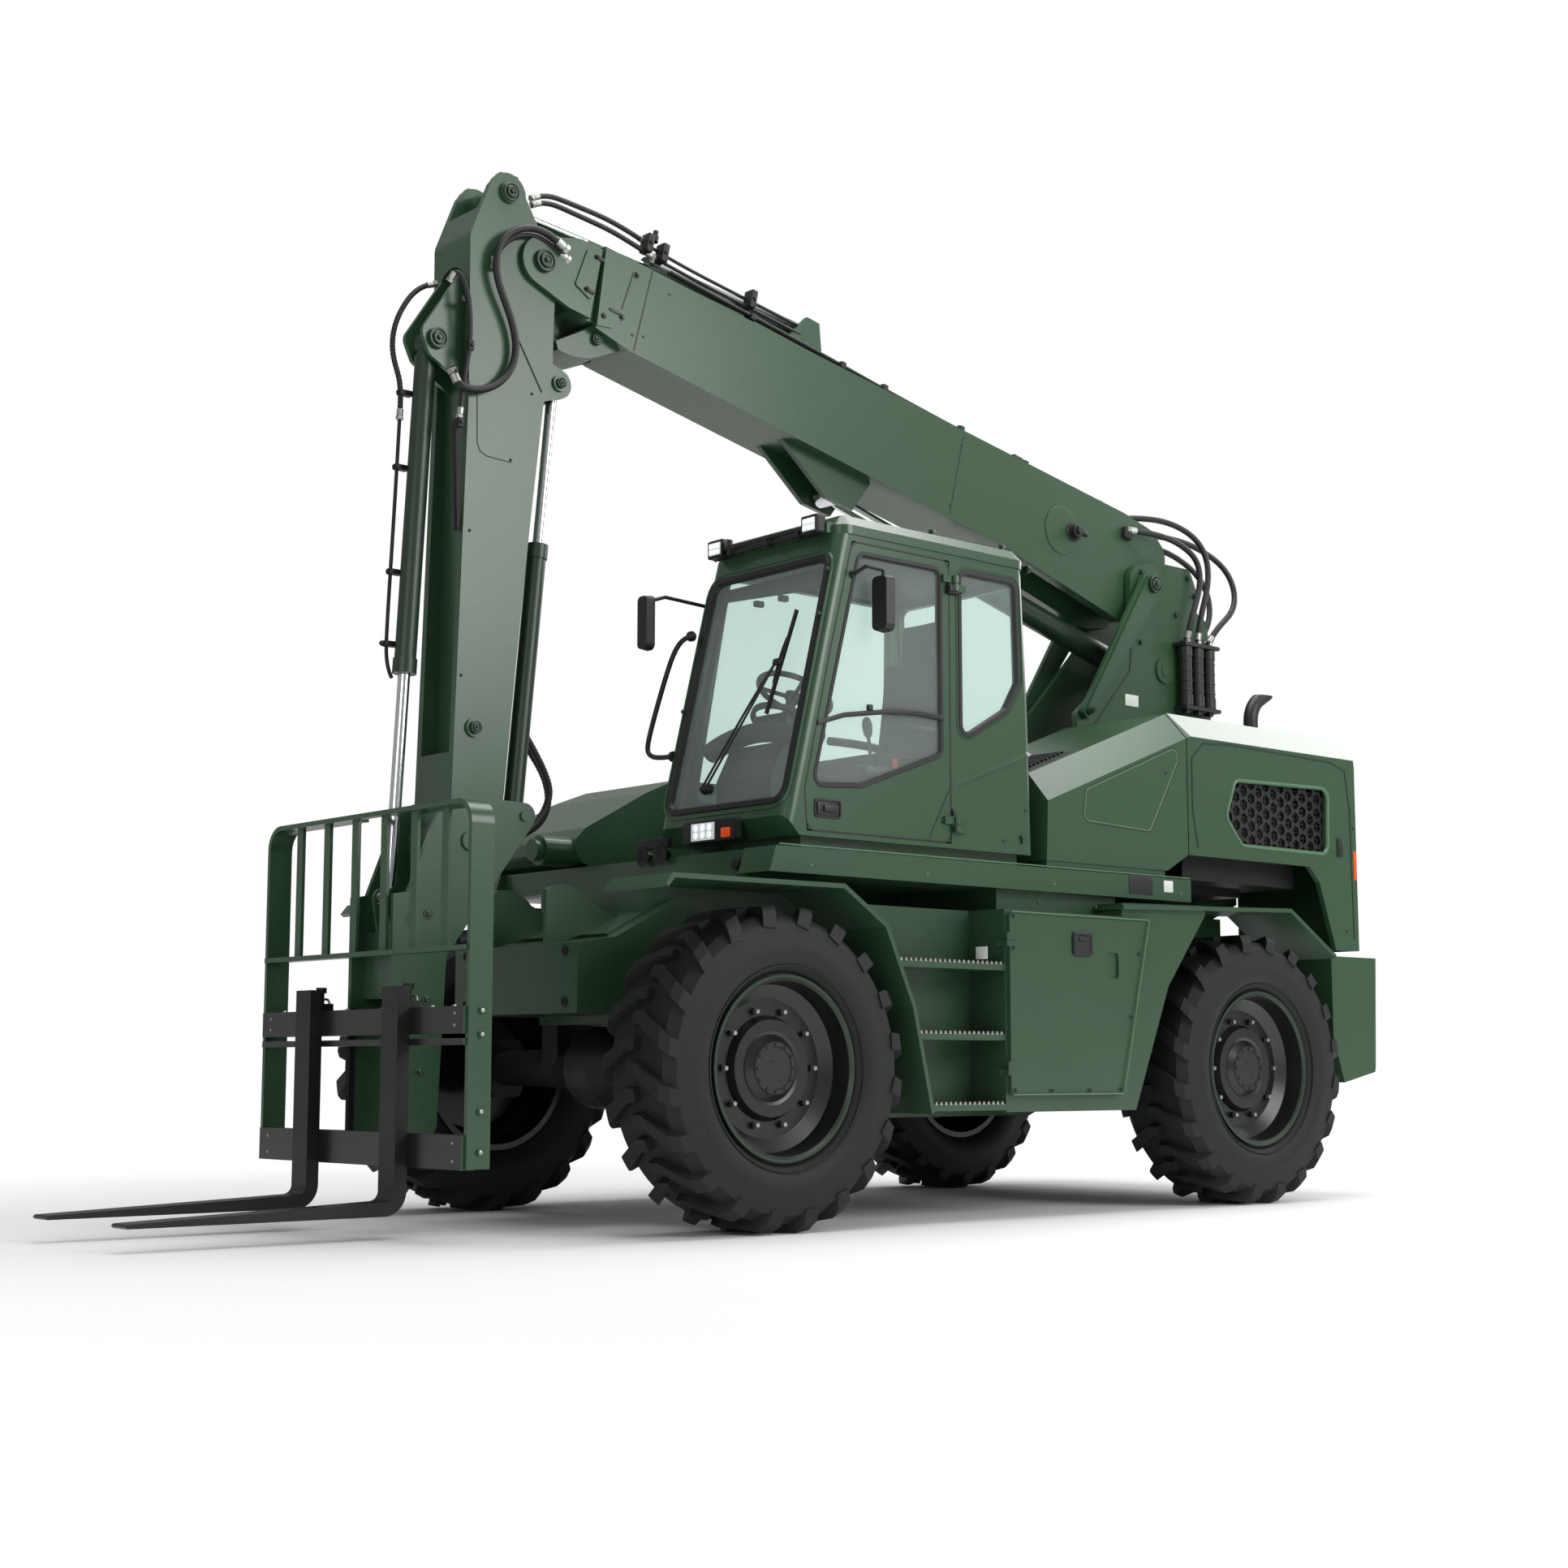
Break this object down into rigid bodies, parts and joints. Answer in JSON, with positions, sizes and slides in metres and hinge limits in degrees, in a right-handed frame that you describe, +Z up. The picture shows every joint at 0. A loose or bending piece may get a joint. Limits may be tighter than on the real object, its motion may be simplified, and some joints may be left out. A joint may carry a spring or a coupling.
{
  "type": "telehandler with an articulated fork boom",
  "caption": "Four-wheel-steer telehandler with a raised two-stage boom, a hanging arm with fork carriage, an offset cab, side hoods and a rear counterweight.",
  "frame": {"origin": "on the ground under the centre of the whole machine, forks included", "axes": "+X forward to the fork tips, +Y to the left, the cab side, +Z up"},
  "size_m": [7.373, 2.7062, 4.9808],
  "materials": {
    "paint_green": "satin dark green paint",
    "frame_black": "satin black paint",
    "fork_steel": "dark grey worn paint",
    "rod_chrome": "polished",
    "tyre_rubber": "matt",
    "window_glass": "clear, slightly tinted",
    "seat_fabric": "woven black",
    "trim_plastic": "matt black",
    "lamp_housing": "gloss black",
    "engine_iron": "cast"
  },
  "bodies": {
    "chassis": {"chassis_frame": "paint_green", "deck": "paint_green", "front_axle": "frame_black", "rear_axle": "frame_black", "side_body_left": "paint_green", "side_body_right": "paint_green", "counterweight": "paint_green", "hood_front": "paint_green", "engine_block": "engine_iron", "right_cover": "paint_green", "tower": "paint_green", "tower_braces": "paint_green", "valve_block": "frame_black", "cab_body": "paint_green", "cab_roof": "paint_green", "cab_glass": "window_glass", "seat_base": "trim_plastic", "seat_cushion": "seat_fabric", "cab_console": "trim_plastic", "cab_mirror": "trim_plastic", "lamps": "lamp_housing"},
    "toolbox_lid": {"toolbox_door": "paint_green"},
    "cab_side_door": {"cab_door": "paint_green", "door_glass": "window_glass", "door_mirror": "trim_plastic"},
    "hood_lid": {"hood_rear": "paint_green", "hood_grille": "frame_black", "exhaust_stack": "frame_black"},
    "boom_base": {"boom_outer": "paint_green"},
    "boom_slide": {"boom_inner": "paint_green", "boom_pipes": "frame_black"},
    "arm_body": {"arm": "paint_green"},
    "fork_carriage": {"carriage": "paint_green", "forks": "fork_steel"},
    "lift_barrel_body": {"lift_barrel": "paint_green"},
    "lift_rod_body": {"lift_rod": "rod_chrome"},
    "arm_barrel_body": {"arm_barrel": "paint_green"},
    "arm_rod_body": {"arm_rod": "rod_chrome"},
    "link_rear_barrel_body": {"link_rear_barrel": "paint_green"},
    "link_rear_rod_body": {"link_rear_rod": "rod_chrome"},
    "link_front_barrel_body": {"link_front_barrel": "paint_green"},
    "link_front_rod_body": {"link_front_rod": "rod_chrome"},
    "knuckle_front_left_body": {"knuckle_front_left": "frame_black"},
    "wheel_front_left_body": {"rim_front_left": "paint_green", "tyre_front_left": "tyre_rubber"},
    "knuckle_front_right_body": {"knuckle_front_right": "frame_black"},
    "wheel_front_right_body": {"rim_front_right": "paint_green", "tyre_front_right": "tyre_rubber"},
    "knuckle_rear_left_body": {"knuckle_rear_left": "frame_black"},
    "wheel_rear_left_body": {"rim_rear_left": "paint_green", "tyre_rear_left": "tyre_rubber"},
    "knuckle_rear_right_body": {"knuckle_rear_right": "frame_black"},
    "wheel_rear_right_body": {"rim_rear_right": "paint_green", "tyre_rear_right": "tyre_rubber"}
  },
  "joints": [
    {"name": "steer_front_left", "type": "hinge", "parent": "chassis", "child": "knuckle_front_left_body", "pos_m": [1.028, 0.96, 0.72], "axis": [0, 0, 1], "range_deg": [-28, 28]},
    {"name": "wheel_front_left_spin", "type": "hinge", "parent": "knuckle_front_left_body", "child": "wheel_front_left_body", "pos_m": [1.028, 1.115, 0.72], "axis": [0, 1, 0], "continuous": true},
    {"name": "steer_front_right", "type": "hinge", "parent": "chassis", "child": "knuckle_front_right_body", "pos_m": [1.028, -0.96, 0.72], "axis": [0, 0, 1], "range_deg": [-28, 28]},
    {"name": "wheel_front_right_spin", "type": "hinge", "parent": "knuckle_front_right_body", "child": "wheel_front_right_body", "pos_m": [1.028, -1.115, 0.72], "axis": [0, 1, 0], "continuous": true},
    {"name": "steer_rear_left", "type": "hinge", "parent": "chassis", "child": "knuckle_rear_left_body", "pos_m": [-2.372, 0.96, 0.72], "axis": [0, 0, 1], "range_deg": [-28, 28]},
    {"name": "wheel_rear_left_spin", "type": "hinge", "parent": "knuckle_rear_left_body", "child": "wheel_rear_left_body", "pos_m": [-2.372, 1.115, 0.72], "axis": [0, 1, 0], "continuous": true},
    {"name": "steer_rear_right", "type": "hinge", "parent": "chassis", "child": "knuckle_rear_right_body", "pos_m": [-2.372, -0.96, 0.72], "axis": [0, 0, 1], "range_deg": [-28, 28]},
    {"name": "wheel_rear_right_spin", "type": "hinge", "parent": "knuckle_rear_right_body", "child": "wheel_rear_right_body", "pos_m": [-2.372, -1.115, 0.72], "axis": [0, 1, 0], "continuous": true},
    {"name": "cab_door_hinge", "type": "hinge", "parent": "chassis", "child": "cab_side_door", "pos_m": [-0.157, 1.225, 2.5], "axis": [0, 0, 1], "range_deg": [0, 100]},
    {"name": "toolbox_door_hinge", "type": "hinge", "parent": "chassis", "child": "toolbox_lid", "pos_m": [-0.387, 1.332, 1], "axis": [0, 0, -1], "range_deg": [0, 110]},
    {"name": "hood_lid_hinge", "type": "hinge", "parent": "chassis", "child": "hood_lid", "pos_m": [-2.672, 0.34, 2.655], "axis": [1, 0, 0], "range_deg": [0, 50]},
    {"name": "boom_lift", "type": "hinge", "parent": "chassis", "child": "boom_base", "pos_m": [-2.822, 0, 3.6], "axis": [0, -1, 0], "range_deg": [-4, 45]},
    {"name": "boom_extend", "type": "slide", "parent": "boom_base", "child": "boom_slide", "axis": [0.9806, 0, 0.1959], "range_m": [0, 1]},
    {"name": "arm_swing", "type": "hinge", "parent": "boom_slide", "child": "arm_body", "pos_m": [1.58745, 0, 4.58001], "axis": [0, 1, 0], "range_deg": [-75, 3]},
    {"name": "carriage_tilt", "type": "hinge", "parent": "arm_body", "child": "fork_carriage", "pos_m": [1.958, 0, 1.75], "axis": [0, -1, 0], "range_deg": [-15, 8]},
    {"name": "lift_barrel_turn", "type": "hinge", "parent": "chassis", "child": "lift_barrel_body", "pos_m": [-2.972, 0, 3.1], "axis": [0, -1, 0], "range_deg": [-3.95, 39.34]},
    {"name": "lift_rod_slide", "type": "slide", "parent": "lift_barrel_body", "child": "lift_rod_body", "axis": [0.9643, 0, 0.2647], "range_m": [-0.0285, 0.2791]},
    {"name": "arm_barrel_turn", "type": "hinge", "parent": "boom_slide", "child": "arm_barrel_body", "pos_m": [-0.24171, 0, 4.66015], "axis": [0, -1, 0], "range_deg": [-0.6, 2.97]},
    {"name": "arm_rod_slide", "type": "slide", "parent": "arm_barrel_body", "child": "arm_rod_body", "axis": [0.9941, 0, 0.1087], "range_m": [-0.438, 0.0214]},
    {"name": "link_rear_barrel_turn", "type": "hinge", "parent": "fork_carriage", "child": "link_rear_barrel_body", "pos_m": [1.658, 0, 1.885], "axis": [0, -1, 0], "range_deg": [-9.21, 16.82]},
    {"name": "link_rear_rod_slide", "type": "slide", "parent": "link_rear_barrel_body", "child": "link_rear_rod_body", "axis": [-0.0938, 0, 0.9956], "range_m": [-0.0746, 0.0417]},
    {"name": "link_front_barrel_turn", "type": "hinge", "parent": "arm_body", "child": "link_front_barrel_body", "pos_m": [2.123, 0, 4.104], "axis": [0, -1, 0], "range_deg": [-2.22, 1.42]},
    {"name": "link_front_rod_slide", "type": "slide", "parent": "link_front_barrel_body", "child": "link_front_rod_body", "axis": [0.0533, 0, -0.9986], "range_m": [-0.0415, 0.0743]}
  ],
  "couplings": [
    {"joint": "steer_front_right", "follows": "steer_front_left", "ratio": 1},
    {"joint": "steer_rear_right", "follows": "steer_rear_left", "ratio": 1},
    {"joint": "lift_barrel_turn", "follows": "boom_lift", "ratio": 0.86316},
    {"joint": "lift_rod_slide", "follows": "boom_lift", "m_per_rad": 0.35031},
    {"joint": "arm_barrel_turn", "follows": "arm_swing", "ratio": -0.0329},
    {"joint": "arm_rod_slide", "follows": "arm_swing", "m_per_rad": 0.33154},
    {"joint": "link_rear_barrel_turn", "follows": "carriage_tilt", "ratio": -1.0882},
    {"joint": "link_rear_rod_slide", "follows": "carriage_tilt", "m_per_rad": 0.26981},
    {"joint": "link_front_barrel_turn", "follows": "carriage_tilt", "ratio": 0.11496},
    {"joint": "link_front_rod_slide", "follows": "carriage_tilt", "m_per_rad": -0.26869}
  ]
}
